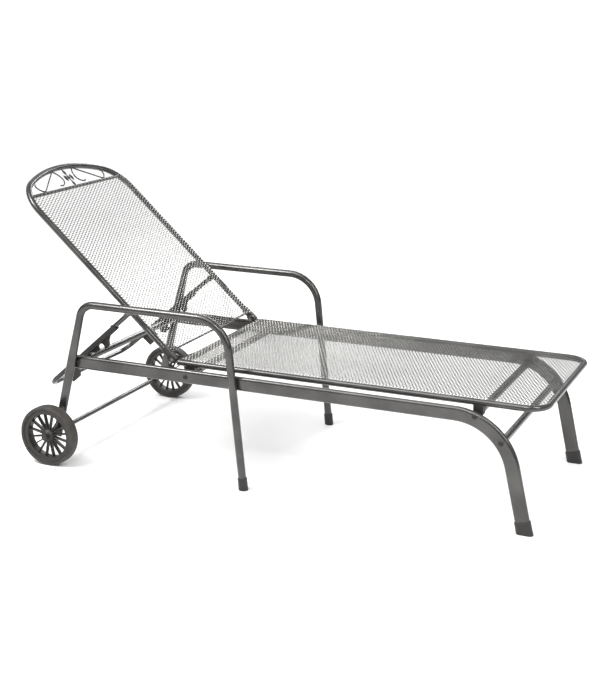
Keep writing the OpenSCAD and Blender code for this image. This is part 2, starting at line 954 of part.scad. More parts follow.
module leaf_ornament() {
    leaf_t = 3;
    leaf_w = 15;
    mid_s = (crossbar_s + crossbar_d / 2 + apex_s - seat_d / 2) / 2;
    gap = apex_s - seat_d / 2 - crossbar_s - crossbar_d / 2;
    color(steel)
        difference() {
            in_backrest() {
                translate([crossbar_s, 0, 0])
                    rotate([0, 90, 0])
                        cylinder(d = wire_d, h = arch_h);
                translate([mid_s, 0, 0])
                    sphere(d = 12);
                translate([0, 0, -leaf_t / 2])
                    linear_extrude(leaf_t) {
                        translate([mid_s + gap * 0.28, 0])
                            leaf(gap * 0.44, leaf_w);
                        translate([mid_s - gap * 0.28, 0])
                            leaf(gap * 0.44, leaf_w);
                        for (side = [-1, 1])
                            translate([mid_s - 1, side * (leaf_w / 2 + 4.5)])
                                rotate([0, 0, side * 10])
                                    leaf(gap * 0.5, leaf_w);
                    }
            }
            back_path();
            in_backrest()
                translate([crossbar_s, 0, 0])
                    y_rod(crossbar_d, -side_y, side_y);
        }
}

// ---------------------------------------------------------------- prop bar

module prop_lug(side) {
    lug_r = 10;
    y1 = side * lug_in;
    y2 = side * (lug_in + lug_t);
    color(steel)
        difference() {
            in_backrest()
                translate([lug_along, 0, lug_drop])
                    difference() {
                        union() {
                            y_rod(2 * lug_r, y1, y2);
                            translate([-lug_r, min(y1, y2), -lug_drop])
                                cube([2 * lug_r, lug_t, lug_drop]);
                        }
                        y_rod(prop_bolt_d + 2 * seat_clear, side * (lug_in - 1), side * (lug_in + lug_t + 1));
                    }
            back_path();
        }
}

module at_prop_pivot() {
    in_backrest()
        translate([lug_along, 0, lug_drop])
            children();
}

tang_in = prop_top_y + prop_d / 2 - tang_t;

module prop_bolts() {
    color(zinc)
        at_prop_pivot()
            on_both_sides() {
                y_rod(prop_bolt_d, tang_in - 6.5, lug_in + lug_t + 1);
                y_rod(1.7 * prop_bolt_d, lug_in + lug_t, lug_in + lug_t + 4);
            }
}

module prop_nuts() {
    color(zinc)
        at_prop_pivot()
            on_both_sides()
                hex_nut(prop_bolt_d, tang_in - side_clear - 5, tang_in - side_clear);
}

module prop_path(grow = 0, wall = 0) {
    bent_tube(prop_outline, prop_radii, prop_d + 2 * grow, prop_d + 2 * grow, wall);
}

module prop_bar() {
    color(steel)
        in_prop()
            difference() {
                union() {
                    difference() {
                        prop_path(wall = seat_wall);
                        translate([-20, -side_y, -prop_d])
                            cube([20 + tang_start, 2 * side_y, 2 * prop_d]);
                    }
                    for (side = [left, right]) {
                        y_rod(prop_d, side * tang_in, side * (tang_in + tang_t));
                        translate([0, side == left ? tang_in : -tang_in - tang_t, -prop_d / 2])
                            cube([tang_start, tang_t, prop_d]);
                    }
                }
                y_rod(prop_bolt_d + 2 * run_clear, -side_y, side_y);
            }
}

// Outline of a notch plate: X along the leg, Y the depth below its middle.
module notch_outline() {
    first = catch_s - notch_pitch;
    third = catch_s + notch_pitch;
    outline_top = prop_d / 2 + 1;
    difference() {
        polygon([
            [plate_start, outline_top],
            [plate_start, track_depth],
            [first - 54, track_depth],
            [first - 38, first_tooth_depth - 14],
            [first - 30, first_tooth_depth - 3],
            [first - 22, first_tooth_depth],
            [first - 10, first_tooth_depth],
            [first - 7, first_tooth_depth - 8],
            [first, track_depth],
            [first + 12, mid_tooth_depth],
            [catch_s - 32, mid_tooth_depth],
            [catch_s - 22, mid_tooth_depth - 6],
            [catch_s - notch_r, track_depth],
            [catch_s + notch_r + 2, track_depth],
            [catch_s + notch_r + 4, deep_tooth_depth],
            [third - notch_r - 8, deep_tooth_depth],
            [third - notch_r + 2, deep_tooth_depth - 10],
            [third + notch_r, deep_tooth_depth - 12],
            [third + notch_r + 12, deep_tooth_depth],
            [plate_end - 6, deep_tooth_depth],
            [plate_end, track_depth],
            [plate_end, outline_top]
        ]);
        for (s = [first, catch_s, third])
            translate([s, catch_depth])
                circle(r = notch_r);
        translate([third - 6, catch_depth])
            square([12, deep_tooth_depth]);
    }
}

module notch_plate(side) {
    color(plastic)
        in_prop()
            difference() {
                translate([0, side * prop_top_y, 0])
                    rotate([0, 0, -side * toe_angle]) {
                        rotate([90, 0, 0])
                            translate([0, 0, -notch_plate_t / 2])
                                linear_extrude(notch_plate_t)
                                    notch_outline();
                        translate([plate_start, -prop_d / 2 - cheek_t, -cheek_h / 2])
                            cube([plate_end - plate_start, prop_d + 2 * cheek_t, saddle_h]);
                    }
                prop_path(grow = seat_clear);
            }
}

module notch_screws() {
    screw_d = 4;
    color(zinc)
        in_prop()
            for (side = [left, right], s = [plate_start + 14, catch_s + 1.6 * notch_pitch])
                translate([0, side * prop_top_y, 0])
                    rotate([0, 0, -side * toe_angle])
                        translate([s, 0, -prop_d / 2])
                            rotate([180, 0, 0])
                                cylinder(d = 2 * screw_d, h = 2);
}

// ---------------------------------------------------------------- nodes

side_rail(left);  // side_rail_left
side_rail(right);  // side_rail_right
rail_end_plugs();
cross_tube(catch_x, rail_z);  // catch_tube
cross_tube(support_rear, rail_z);  // seat_support_tube_rear
cross_tube(support_front, rail_z);  // seat_support_tube_front
cross_tube(brace_x, brace_z);  // leg_brace_tube
cross_tube_inserts();
rail_bolts();
arm_loop(left);  // arm_loop_left
arm_loop(right);  // arm_loop_right
arm_bolts();
front_foot_cap(left);  // front_foot_cap_left
front_foot_cap(right);  // front_foot_cap_right
arm_foot_cap(left);  // arm_foot_cap_left
arm_foot_cap(right);  // arm_foot_cap_right
axle_rod();
axle_tube();
axle_spacers();
axle_caps();
wheel(left);  // wheel_left
wheel(right);  // wheel_right
tyre(left);  // tyre_left
tyre(right);  // tyre_right
wheel_bush(left);  // wheel_bush_left
wheel_bush(right);  // wheel_bush_right
seat_frame();
seat_rear_tube();
seat_mesh();
seat_saddle_clips();
seat_end_plugs();
seat_corner_gussets();
hinge_plate(left);  // hinge_plate_left
hinge_plate(right);  // hinge_plate_right
hinge_bolts();
hinge_nuts();
backrest_frame();
backrest_crossbar();
backrest_bottom_rod();
backrest_mesh();
hinge_knuckle(left);  // hinge_knuckle_left
hinge_knuckle(right);  // hinge_knuckle_right
scroll(left);  // scroll_left
scroll(right);  // scroll_right
curl(left);  // curl_left
curl(right);  // curl_right
leaf_ornament();
prop_lug(left);  // prop_lug_left
prop_lug(right);  // prop_lug_right
prop_bolts();
prop_nuts();
prop_bar();
notch_plate(left);  // notch_plate_left
notch_plate(right);  // notch_plate_right
notch_screws();
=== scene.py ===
"""Looks of a reclining sun lounger: painted steel tube, expanded metal panels, moulded plastic and wheels."""

import json
import logging
import math
from dataclasses import dataclass
from enum import Enum
from typing import Sequence

import bpy
import numpy as np
from mathutils import Matrix, Vector


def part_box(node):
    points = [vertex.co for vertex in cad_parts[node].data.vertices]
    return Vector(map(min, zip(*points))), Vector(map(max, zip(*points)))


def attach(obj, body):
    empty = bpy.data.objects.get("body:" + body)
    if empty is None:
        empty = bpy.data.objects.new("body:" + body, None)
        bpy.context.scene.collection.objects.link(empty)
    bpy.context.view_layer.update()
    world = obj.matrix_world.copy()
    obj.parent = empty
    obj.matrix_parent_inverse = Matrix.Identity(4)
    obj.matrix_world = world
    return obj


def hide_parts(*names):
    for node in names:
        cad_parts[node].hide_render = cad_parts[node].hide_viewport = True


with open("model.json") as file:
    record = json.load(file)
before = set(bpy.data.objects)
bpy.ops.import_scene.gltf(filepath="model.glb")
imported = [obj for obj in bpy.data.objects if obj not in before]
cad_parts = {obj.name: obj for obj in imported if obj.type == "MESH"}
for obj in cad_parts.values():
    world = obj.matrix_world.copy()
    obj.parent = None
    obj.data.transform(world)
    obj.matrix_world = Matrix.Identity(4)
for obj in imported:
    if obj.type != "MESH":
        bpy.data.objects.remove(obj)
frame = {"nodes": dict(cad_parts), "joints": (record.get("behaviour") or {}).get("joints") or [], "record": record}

log = logging.getLogger("sun_lounger")

MM = 0.001
Colour = tuple[float, float, float, float]


class Body(Enum):
    """The moving bodies of the frame."""

    FRAME = "frame"
    BACKREST = "backrest"
    PROP = "prop"
    WHEEL_LEFT = "wheel_body_left"
    WHEEL_RIGHT = "wheel_body_right"


class Slot(Enum):
    """The record's material slots."""

    FRAME_STEEL = "frame_steel"
    MESH_STEEL = "mesh_steel"
    INSERT_STEEL = "insert_steel"
    ZINC_STEEL = "zinc_steel"
    BLACK_PLASTIC = "black_plastic"
    WHEEL_PLASTIC = "wheel_plastic"
    TYRE_PLASTIC = "tyre_plastic"
    BUSH_PLASTIC = "bush_plastic"


class Side(Enum):
    """The two sides of a person lying on the lounger."""

    LEFT = 1
    RIGHT = -1

    @property
    def word(self) -> str:
        """The side's name in node and piece names.

        Returns:
            The name in lower case.
        """
        return self.name.lower()


# ---------------------------------------------------------------- materials


def linear(hex_colour: str) -> Colour:
    """Turns an sRGB hex colour to linear.

    Args:
        hex_colour: six hex digits after a hash.

    Returns:
        Linear red, green and blue, and an alpha of 1.
    """
    parts = [int(hex_colour[i : i + 2], 16) / 255 for i in (1, 3, 5)]
    red, green, blue = (p / 12.92 if p <= 0.04045 else ((p + 0.055) / 1.055) ** 2.4 for p in parts)
    return red, green, blue, 1.0


def add_node(
    tree: bpy.types.NodeTree, kind: str, settings: dict | None = None, links: dict | None = None
) -> bpy.types.Node:
    """Adds a node to a tree.

    Args:
        tree: the tree that gets the node.
        kind: the node's type name.
        settings: values by input name or number, or by property name.
        links: output sockets by the name or number of the input that each feeds.

    Returns:
        The new node.
    """
    node = tree.nodes.new(kind)
    for name, value in (settings or {}).items():
        if isinstance(name, int) or name in node.inputs:
            node.inputs[name].default_value = value
        else:
            setattr(node, name, value)
    for name, socket in (links or {}).items():
        tree.links.new(socket, node.inputs[name])
    return node


def new_material(name: str) -> tuple[bpy.types.Material, bpy.types.NodeTree]:
    """Makes an empty node material.

    Args:
        name: the material's name.

    Returns:
        The material and its node tree.
    """
    material = bpy.data.materials.new(name)
    material.use_nodes = True
    material.node_tree.nodes.clear()
    return material, material.node_tree


def mottle(tree: bpy.types.NodeTree, size_mm: float, detail: float = 3.0) -> bpy.types.NodeSocket:
    """Adds a noise whose blotches have a real size.

    Args:
        tree: the tree that gets the noise.
        size_mm: the size of a blotch.
        detail: octaves of finer noise.

    Returns:
        The noise's factor socket.
    """
    place = add_node(tree, "ShaderNodeTexCoord")
    noise = add_node(
        tree,
        "ShaderNodeTexNoise",
        {"Scale": 1 / (size_mm * MM), "Detail": detail, "Roughness": 0.55},
        {"Vector": place.outputs["Object"]},
    )
    return noise.outputs["Fac"]


def spread(
    tree: bpy.types.NodeTree, factor: bpy.types.NodeSocket, low: float, high: float
) -> bpy.types.NodeSocket:
    """Maps the middle of a noise onto a range.

    Args:
        tree: the tree that gets the node.
        factor: a socket from 0 to 1.
        low: the value where the noise is low.
        high: the value where the noise is high.

    Returns:
        The mapped socket.
    """
    settings = {"From Min": 0.3, "From Max": 0.7, "To Min": low, "To Max": high}
    return add_node(tree, "ShaderNodeMapRange", settings, {"Value": factor}).outputs["Result"]


def blend_colours(
    tree: bpy.types.NodeTree, factor: bpy.types.NodeSocket, first: str, second: str
) -> bpy.types.NodeSocket:
    """Mixes two sRGB colours by a factor.

    Args:
        tree: the tree that gets the node.
        factor: the socket that drives the mix.
        first: hex colour at 0.
        second: hex colour at 1.

    Returns:
        The mixed colour socket.
    """
    ramp = add_node(tree, "ShaderNodeValToRGB", links={"Fac": factor})
    ramp.color_ramp.elements[0].position = 0.32
    ramp.color_ramp.elements[0].color = linear(first)
    ramp.color_ramp.elements[1].position = 0.68
    ramp.color_ramp.elements[1].color = linear(second)
    return ramp.outputs["Color"]


def finish_surface(
    tree: bpy.types.NodeTree, settings: dict, links: dict, relief: bpy.types.NodeSocket, depth_mm: float
) -> None:
    """Ends a material with a bump, a Principled shader and the output.

    Args:
        tree: the material's tree.
        settings: constants of the shader.
        links: sockets that feed the shader.
        relief: the height socket of the bump.
        depth_mm: the depth of the relief.
    """
    bump = add_node(tree, "ShaderNodeBump", {"Strength": 0.6, "Distance": depth_mm * MM}, {"Height": relief})
    shader = add_node(tree, "ShaderNodeBsdfPrincipled", settings, {**links, "Normal": bump.outputs["Normal"]})
    add_node(tree, "ShaderNodeOutputMaterial", links={"Surface": shader.outputs["BSDF"]})


@dataclass(frozen=True)
class PowderCoat:
    """Anthracite polyester powder coat with metal flake, sprayed and baked on steel.

    The flake gives the broad soft highlight of a dull metal, and the baking leaves a faint orange peel.
    """

    name: str = "anthracite_powder_coat"
    deep: str = "#464544"
    pale: str = "#595856"
    flake_share: float = 0.8
    roughness: float = 0.22
    peel_mm: float = 2.2
    shade_mm: float = 90.0

    def build(self) -> bpy.types.Material:
        """Makes the material.

        Returns:
            The new material.
        """
        material, tree = new_material(self.name)
        shade = mottle(tree, self.shade_mm)
        # Real flake is 0.03 mm across, too fine to show, so it is drawn at 0.9 mm.
        flake = mottle(tree, 0.9, 1.0)
        mixed = add_node(tree, "ShaderNodeMath", {"operation": "MULTIPLY_ADD", 1: 0.35}, {0: flake, 2: shade})
        centred = add_node(tree, "ShaderNodeMath", {"operation": "SUBTRACT", 1: 0.175}, {0: mixed.outputs[0]})
        colour = blend_colours(tree, centred.outputs[0], self.deep, self.pale)
        rough = spread(tree, shade, self.roughness - 0.03, self.roughness + 0.05)
        finish_surface(
            tree,
            {"Metallic": self.flake_share, "Coat Weight": 0.15, "Coat Roughness": 0.2},
            {"Base Color": colour, "Roughness": rough},
            mottle(tree, self.peel_mm, 1.0),
            0.03,
        )
        return material


@dataclass(frozen=True)
class MouldedPlastic:
    """Black polypropylene, injection moulded in a spark-eroded tool: a dull, faintly grained surface."""

    name: str = "moulded_polypropylene"
    deep: str = "#1d1b19"
    pale: str = "#2a2725"
    roughness: float = 0.5
    grain_mm: float = 1.1
    scuff_mm: float = 35.0
    grain_depth_mm: float = 0.05

    def build(self) -> bpy.types.Material:
        """Makes the material.

        Returns:
            The new material.
        """
        material, tree = new_material(self.name)
        # The tool's grain is too fine to show at its true size, so it is drawn coarser.
        scuff = mottle(tree, self.scuff_mm)
        colour = blend_colours(tree, scuff, self.deep, self.pale)
        rough = spread(tree, scuff, self.roughness - 0.06, self.roughness + 0.1)
        finish_surface(
            tree,
            {"IOR": 1.49},
            {"Base Color": colour, "Roughness": rough},
            mottle(tree, self.grain_mm, 2.0),
            self.grain_depth_mm,
        )
        return material


@dataclass(frozen=True)
class ZincPlate:
    """Steel fasteners, electroplated with zinc and passivated: a dull, slightly cloudy metal."""

    name: str = "passivated_zinc"
    deep: str = "#5c584d"
    pale: str = "#7d786a"
    roughness: float = 0.34
    cloud_mm: float = 4.0

    def build(self) -> bpy.types.Material:
        """Makes the material.

        Returns:
            The new material.
        """
        material, tree = new_material(self.name)
        cloud = mottle(tree, self.cloud_mm)
        colour = blend_colours(tree, cloud, self.deep, self.pale)
        rough = spread(tree, cloud, self.roughness - 0.06, self.roughness + 0.08)
        finish_surface(
            tree, {"Metallic": 1.0}, {"Base Color": colour, "Roughness": rough}, mottle(tree, 0.8, 1.0), 0.01
        )
        return material


@dataclass(frozen=True)
class StudioFloor:
    """Matt white floor paint."""

    name: str = "matt_white_floor"

    def build(self) -> bpy.types.Material:
        """Makes the material.

        Returns:
            The new material.
        """
        material, tree = new_material(self.name)
        cloud = mottle(tree, 900.0)
        colour = blend_colours(tree, cloud, "#f2f2f1", "#f7f7f6")
        finish_surface(
            tree, {"Roughness": 0.85, "Specular IOR Level": 0.2}, {"Base Color": colour}, mottle(tree, 6.0), 0.02
        )
        return material


FINISHES = {
    Slot.FRAME_STEEL: PowderCoat(),
    # The mesh has the same anthracite coat as the tubes. Its colours are painted paler as a painted reflection,
    # standing in for the sheen of the bright sky off the strands' tops.
    Slot.MESH_STEEL: PowderCoat(
        name="anthracite_powder_coat_on_mesh", deep="#706f6b", pale="#8e8d89", flake_share=0.85, shade_mm=140.0
    ),
    Slot.INSERT_STEEL: ZincPlate(name="bright_zinc", deep="#8e9092", pale="#b4b6b8"),
    Slot.ZINC_STEEL: ZincPlate(),
    Slot.BLACK_PLASTIC: MouldedPlastic(),
    Slot.WHEEL_PLASTIC: MouldedPlastic(name="wheel_polypropylene", deep="#211f1d", pale="#2f2c29", roughness=0.44),
    Slot.TYRE_PLASTIC: MouldedPlastic(
        name="tyre_polyethylene", deep="#2b2826", pale="#443f3a", roughness=0.6, grain_mm=1.6, scuff_mm=22.0
    ),
    Slot.BUSH_PLASTIC: MouldedPlastic(name="natural_nylon", deep="#9c9a94", pale="#b5b3ac", roughness=0.4),
}


class Paintbox:
    """Builds each finish once and hands it out by slot."""

    def __init__(self) -> None:
        """Starts empty."""
        self.made: dict[Slot, bpy.types.Material] = {}

    def of(self, slot: Slot) -> bpy.types.Material:
        """The material of a slot.

        Args:
            slot: the slot.

        Returns:
            The material, built at its first use.
        """
        if slot not in self.made:
            self.made[slot] = FINISHES[slot].build()
        return self.made[slot]


# ---------------------------------------------------------------- mesh helpers


@dataclass
class Shape:
    """Vertices and faces under way, which grow as parts are added."""

    points: list[np.ndarray]
    faces: list[list[int]]
    count: int = 0

    @classmethod
    def empty(cls) -> "Shape":
        """Starts a shape.

        Returns:
            A shape with nothing in it.
        """
        return cls([], [])

    def add_loft(self, rings: np.ndarray, cap_start: bool = True, cap_end: bool = True, closed: bool = False) -> None:
        """Adds a skin over a row of closed rings.

        Args:
            rings: points of each ring, as rings by points by 3.
            cap_start: close the first ring with a face.
            cap_end: close the last ring with a face.
            closed: join the last ring to the first.
        """
        rows, across = rings.shape[:2]
        index = self.count + np.arange(rows * across).reshape(rows, across)
        below, above = (index, np.roll(index, -1, 0)) if closed else (index[:-1], index[1:])
        quads = np.stack([below, np.roll(below, -1, 1), np.roll(above, -1, 1), above], axis=-1)
        self.faces += quads.reshape(-1, 4).tolist()
        if cap_start and not closed:
            self.faces.append(index[0][::-1].tolist())
        if cap_end and not closed:
            self.faces.append(index[-1].tolist())
        self.points.append(rings.reshape(-1, 3))
        self.count += rows * across

    def to_object(self, name: str, sharp_deg: float = 38.0) -> bpy.types.Object:
        """Makes a mesh object of the shape.

        Args:
            name: the object's name.
            sharp_deg: edges bent more than this stay sharp.

        Returns:
            The object, linked to the scene.
        """
        mesh = bpy.data.meshes.new(name)
        mesh.from_pydata(np.concatenate(self.points).tolist(), [], self.faces)
        mesh.polygons.foreach_set("use_smooth", [True] * len(mesh.polygons))
        mesh.set_sharp_from_angle(angle=math.radians(sharp_deg))
        mesh.update()
        piece = bpy.data.objects.new(name, mesh)
        bpy.context.scene.collection.objects.link(piece)
        return piece


def stadium(height: float, thickness: float, count: int = 32) -> np.ndarray:
    """Outline of a flat oval, or of a circle where both sizes are equal.

    Args:
        height: size along the first axis.
        thickness: size along the second axis.
        count: points on the outline.

    Returns:
        The points, as count by 2.
    """
    turn = (np.arange(count) + 0.5) / count * 2 * math.pi
    flat = (height - thickness) / 2
    first = np.cos(turn) * thickness / 2 + np.sign(np.cos(turn)) * flat
    return np.stack([first, np.sin(turn) * thickness / 2], axis=1)


def filleted(points: Sequence[tuple[float, float]], radii: Sequence[float], step_deg: float = 4.0) -> np.ndarray:
    """Rounds the corners of a line with arcs.

    Args:
        points: the corners of the line.
        radii: the radius at each corner; the ends' are not used.
        step_deg: the turn between two points of an arc.

    Returns:
        The rounded line's points, as count by 2.
    """
    corners = [np.array(p, float) for p in points]
    line = [corners[0]]
    for before, corner, after, radius in zip(corners, corners[1:], corners[2:], radii[1:]):
        come = (corner - before) / np.linalg.norm(corner - before)
        leave = (after - corner) / np.linalg.norm(after - corner)
        turned = math.atan2(come[0] * leave[1] - come[1] * leave[0], come @ leave)
        start = corner - come * radius * math.tan(abs(turned) / 2)
        sideways = np.array([-come[1], come[0]]) * math.copysign(radius, turned)
        steps = max(2, math.ceil(abs(math.degrees(turned)) / step_deg))
        for angle in np.linspace(0, turned, steps + 1):
            spun = np.array([[math.cos(angle), -math.sin(angle)], [math.sin(angle), math.cos(angle)]]) @ -sideways
            line.append(start + sideways + spun)
    return np.array([*line, corners[-1]])


def smooth_line(points: Sequence[tuple[float, float]], per_span: int = 10) -> np.ndarray:
    """Draws a smooth curve through points.

    Args:
        points: the points that the curve passes.
        per_span: points made between two of them.

    Returns:
        The curve's points, as count by 2.
    """
    given = np.array(points, float)
    padded = np.vstack([2 * given[0] - given[1], given, 2 * given[-1] - given[-2]])
    curve = []
    for a, b, c, d in zip(padded, padded[1:], padded[2:], padded[3:]):
        for t in np.linspace(0, 1, per_span, endpoint=False):
            curve.append(
                0.5 * (2 * b + (c - a) * t + (2 * a - 5 * b + 4 * c - d) * t**2 + (3 * b - a - 3 * c + d) * t**3)
            )
    return np.array([*curve, given[-1]])


def sweep(
    line: np.ndarray, across: np.ndarray, heights: Sequence[float], widths: Sequence[float], count: int = 32
) -> np.ndarray:
    """Carries a flat oval along a flat line.

    Args:
        line: the line's points, as count by 3, all in one plane.
        across: the unit normal of that plane.
        heights: the section's size in the plane, at each point.
        widths: the section's size along across, at each point.
        count: points on each section.

    Returns:
        The rings, as points by count by 3.
    """
    ahead = np.gradient(line, axis=0)
    ahead /= np.linalg.norm(ahead, axis=1, keepdims=True)
    normal = np.cross(across, ahead)
    rings = []
    for point, side, height, width in zip(line, normal, heights, widths):
        section = stadium(height, width, count)
        rings.append(point + section[:, :1] * side + section[:, 1:] * across)
    return np.array(rings)


def dress(
    piece: bpy.types.Object, body: Body, slot: Slot, paints: Paintbox, replaces: Sequence[str] = ()
) -> bpy.types.Object:
    """Gives a piece its finish, its body and the nodes that it stands for.

    Args:
        piece: the new object.
        body: the body that carries it.
        slot: the slot that it takes its finish from.
        paints: the materials.
        replaces: the nodes that it stands for.

    Returns:
        The same object.
    """
    piece.data.materials.append(paints.of(slot))
    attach(piece, body.value)
    if replaces:
        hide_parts(*replaces)
    log.info("%s: %d faces on %s", piece.name, len(piece.data.polygons), body.value)
    return piece


# ---------------------------------------------------------------- places in the frame


def joint(name: str) -> dict:
    """Finds the record of a joint.

    Args:
        name: the joint's name.

    Returns:
        The joint's entry in the frame.
    """
    return next(j for j in frame["joints"] if j["name"] == name)


@dataclass(frozen=True)
class Plane:
    """A flat frame in the model: a point, the way along it, the way up from it, and across."""

    origin: np.ndarray
    along: np.ndarray
    up: np.ndarray
    across: np.ndarray

    def place(self, s: np.ndarray | float, y: np.ndarray | float, lift: np.ndarray | float) -> np.ndarray:
        """Places points by their lengths along, across and above the plane.

        Args:
            s: lengths along.
            y: lengths across.
            lift: heights above.

        Returns:
            The points, with x, y and z last.
        """
        s, y, lift = np.broadcast_arrays(s, y, lift)
        return self.origin + s[..., None] * self.along + y[..., None] * self.across + lift[..., None] * self.up


def backrest_plane() -> Plane:
    """The plane of the backrest's tube centrelines, from the hinge towards the arch.

    Returns:
        The plane at rest.
    """
    hinge = joint("backrest_hinge")
    angle = math.radians(-hinge["range_deg"][0])
    along = np.array([-math.cos(angle), 0.0, math.sin(angle)])
    up = np.array([math.sin(angle), 0.0, math.cos(angle)])
    return Plane(np.array(hinge["pos_m"], float), along, up, np.array([0.0, 1.0, 0.0]))


def seat_plane() -> Plane:
    """The level plane of the seat's tube centrelines, under the hinge.

    Returns:
        The plane.
    """
    low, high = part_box("seat_frame")
    hinge = joint("backrest_hinge")["pos_m"]
    origin = np.array([hinge[0], 0.0, (low.z + high.z) / 2])
    return Plane(origin, np.array([1.0, 0.0, 0.0]), np.array([0.0, 0.0, 1.0]), np.array([0.0, 1.0, 0.0]))


# ---------------------------------------------------------------- expanded metal


@dataclass
class ExpandedPanel:
    """A panel of expanded metal: slit sheet pulled open to diamonds, its strands tilted like louvres."""

    name: str
    node: str
    body: Body
    plane: Plane
    start: float
    end: float
    half_width: float
    corner_start: float
    corner_r: float
    tube_r: float
    diamond_long: float = 21.5 * MM
    diamond_short: float = 10.75 * MM
    strand_w: float = 2.0 * MM
    strand_t: float = 1.2 * MM
    bond: float = 4.6 * MM
    tilt_deg: float = -30.0
    lift: float = 0.9 * MM

    def reach(self, s: float) -> float:
        """How far the panel reaches across.

        Args:
            s: the length along the panel.

        Returns:
            The distance from the middle to the edge.
        """
        past = s - self.corner_start
        if past <= 0:
            return self.half_width
        return self.half_width - self.corner_r + math.sqrt(max(self.corner_r**2 - past**2, 0.0))

    def strand(self, row: int, s: float, reach: float) -> np.ndarray:
        """The rings of one zigzag strand.

        Args:
            row: the strand's number, which sets the phase of its zigzag.
            s: where its nearer bonds are, along the panel.
            reach: how far it goes across.

        Returns:
            Rings by 4 points by 3.
        """
        half = self.diamond_long / 2
        first, last = math.ceil(-reach / half), math.floor(reach / half)
        turns = np.arange(first, last + 1)
        y = np.stack([turns * half - self.bond / 2, turns * half + self.bond / 2], axis=1).reshape(-1)
        far = np.repeat((turns + row) % 2, 2).astype(float)
        y, far = np.append(np.insert(y, 0, -reach), reach), np.append(np.insert(far, 0, 0.5), 0.5)
        keep = np.abs(y) <= reach
        y, far = y[keep], far[keep]
        tilt = math.radians(self.tilt_deg)
        lean = self.strand_w / 2 * (1 - 2 * far)
        centre_s = s + far * self.diamond_short / 2 + lean * math.cos(tilt)
        centre_up = lean * math.sin(tilt)
        level = self.tube_r + self.lift
        ring = []
        for w, t in ((-1, -1), (1, -1), (1, 1), (-1, 1)):
            ds = w * self.strand_w / 2 * math.cos(tilt) - t * self.strand_t / 2 * math.sin(tilt)
            du = w * self.strand_w / 2 * math.sin(tilt) + t * self.strand_t / 2 * math.cos(tilt)
            ring.append(self.plane.place(centre_s + ds, y, centre_up + du + level))
        return np.stack(ring, axis=1)

    def build(self, paints: Paintbox) -> bpy.types.Object:
        """Makes the panel.

        Args:
            paints: the materials.

        Returns:
            The panel's object.
        """
        shape = Shape.empty()
        pitch = self.diamond_short / 2
        for row in range(int((self.end - self.start) / pitch)):
            s = self.start + row * pitch
            reach = self.reach(s + pitch)
            if reach > self.diamond_long:
                shape.add_loft(self.strand(row, s, reach))
        piece = shape.to_object(self.name, sharp_deg=30.0)
        return dress(piece, self.body, Slot.MESH_STEEL, paints, [self.node])


# ---------------------------------------------------------------- armrests


@dataclass
class ArmLoop:
    """One bent tube: flattened rear leg, armrest and front leg."""

    side: Side
    tube_d: float = 25 * MM
    flat_t: float = 15 * MM
    rear_corner: float = 111 * MM
    front_corner: float = 622 * MM
    foot: float = 680 * MM
    rear_bend: float = 52 * MM
    front_bend: float = 110 * MM
    foot_floor: float = 5 * MM
    squeeze_len: float = 190 * MM

    def build(self, paints: Paintbox) -> bpy.types.Object:
        """Makes the loop.

        Args:
            paints: the materials.

        Returns:
            The loop's object.
        """
        node = f"arm_loop_{self.side.word}"
        low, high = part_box(node)
        axle = joint(f"wheel_spin_{self.side.word}")["pos_m"]
        y = (low.y + high.y) / 2
        top = high.z - self.tube_d / 2
        flat_w = self.flat_t + math.pi * (self.tube_d - self.flat_t) / 2
        rear = np.array([axle[0], axle[2]])
        corner = np.array([axle[0] + self.rear_corner, top])
        up = (corner - rear) / np.linalg.norm(corner - rear)
        bend_turn = math.atan2(up[1], up[0])
        straight = np.linalg.norm(corner - rear) - self.rear_bend * math.tan(bend_turn / 2)
        tail = flat_w / 2 + 2 * MM
        leg = [rear + up * d for d in np.linspace(-tail, straight - 4 * MM, 40)]
        lean = math.atan2(self.foot - self.front_corner, top)
        foot = (axle[0] + self.foot - self.foot_floor * math.tan(lean), self.foot_floor)
        bent = filleted(
            [tuple(rear), tuple(corner), (axle[0] + self.front_corner, top), foot],
            [0, self.rear_bend, self.front_bend, 0],
        )[1:]
        line = np.array([*leg, *bent])
        run = np.append(0, np.cumsum(np.linalg.norm(np.diff(line, axis=0), axis=1)))
        share = np.clip((run - (straight + tail - self.squeeze_len)) / self.squeeze_len, 0, 1)
        round_share = share * share * (3 - 2 * share)
        heights = flat_w + (self.tube_d - flat_w) * round_share
        widths = self.flat_t + (self.tube_d - self.flat_t) * round_share
        path = np.stack([line[:, 0], np.full(len(line), y), line[:, 1]], axis=1)
        shape = Shape.empty()
        shape.add_loft(sweep(path, np.array([0.0, 1.0, 0.0]), heights, widths, 40))
        piece = shape.to_object(f"armrest_tube_{self.side.word}")
        return dress(piece, Body.FRAME, Slot.FRAME_STEEL, paints, [node])


# ---------------------------------------------------------------- foot caps


